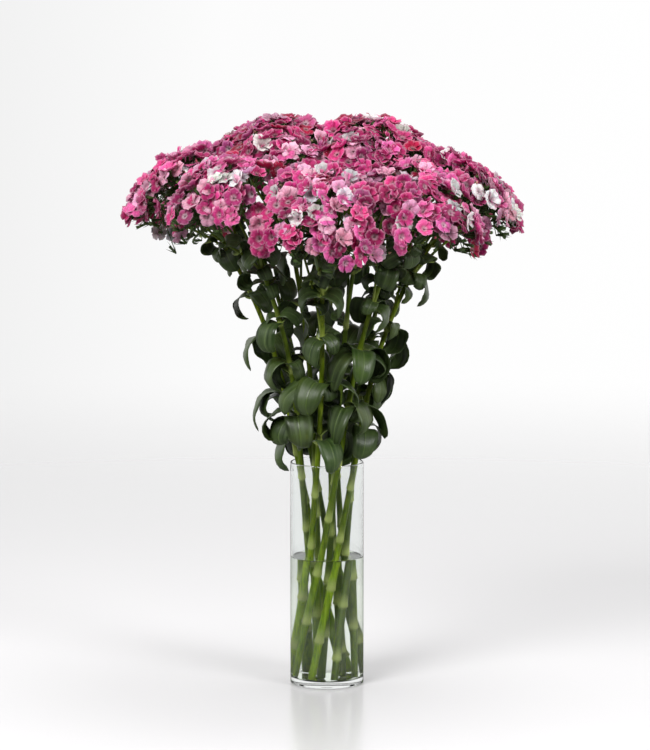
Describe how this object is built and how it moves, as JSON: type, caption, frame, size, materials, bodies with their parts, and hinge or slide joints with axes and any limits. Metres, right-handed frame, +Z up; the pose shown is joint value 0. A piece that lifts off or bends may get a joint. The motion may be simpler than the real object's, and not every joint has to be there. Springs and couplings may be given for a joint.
{
  "type": "cut sweet william bouquet in a glass vase of water",
  "caption": "Shallow dome of pink sweet william flowers on leafy, branching green stems, standing in a clear glass cylinder vase half full of water.",
  "frame": {"origin": "middle of the vase's flat underside", "axes": "+Z up along the vase, +X to the right and -Y towards the viewer of the picture"},
  "size_m": [0.5522, 0.5465, 0.7831],
  "materials": {
    "clear_glass": "clear polished soda-lime glass",
    "water": "clear still water",
    "stem_green": "fresh satin plant skin, waxy on the leaves",
    "petal_pink": "soft matte petals in mixed pinks and white"
  },
  "bodies": {
    "root": {"vase": "clear_glass", "water": "water", "stem_01": "stem_green", "stem_02": "stem_green", "stem_03": "stem_green", "stem_04": "stem_green", "stem_05": "stem_green", "stem_06": "stem_green", "stem_07": "stem_green", "stem_08": "stem_green", "stem_09": "stem_green", "stem_10": "stem_green", "stem_11": "stem_green", "head_01": "petal_pink", "head_02": "petal_pink", "head_03": "petal_pink", "head_04": "petal_pink", "head_05": "petal_pink", "head_06": "petal_pink", "head_07": "petal_pink", "head_08": "petal_pink", "head_09": "petal_pink", "head_10": "petal_pink", "head_11": "petal_pink"}
  },
  "joints": []
}
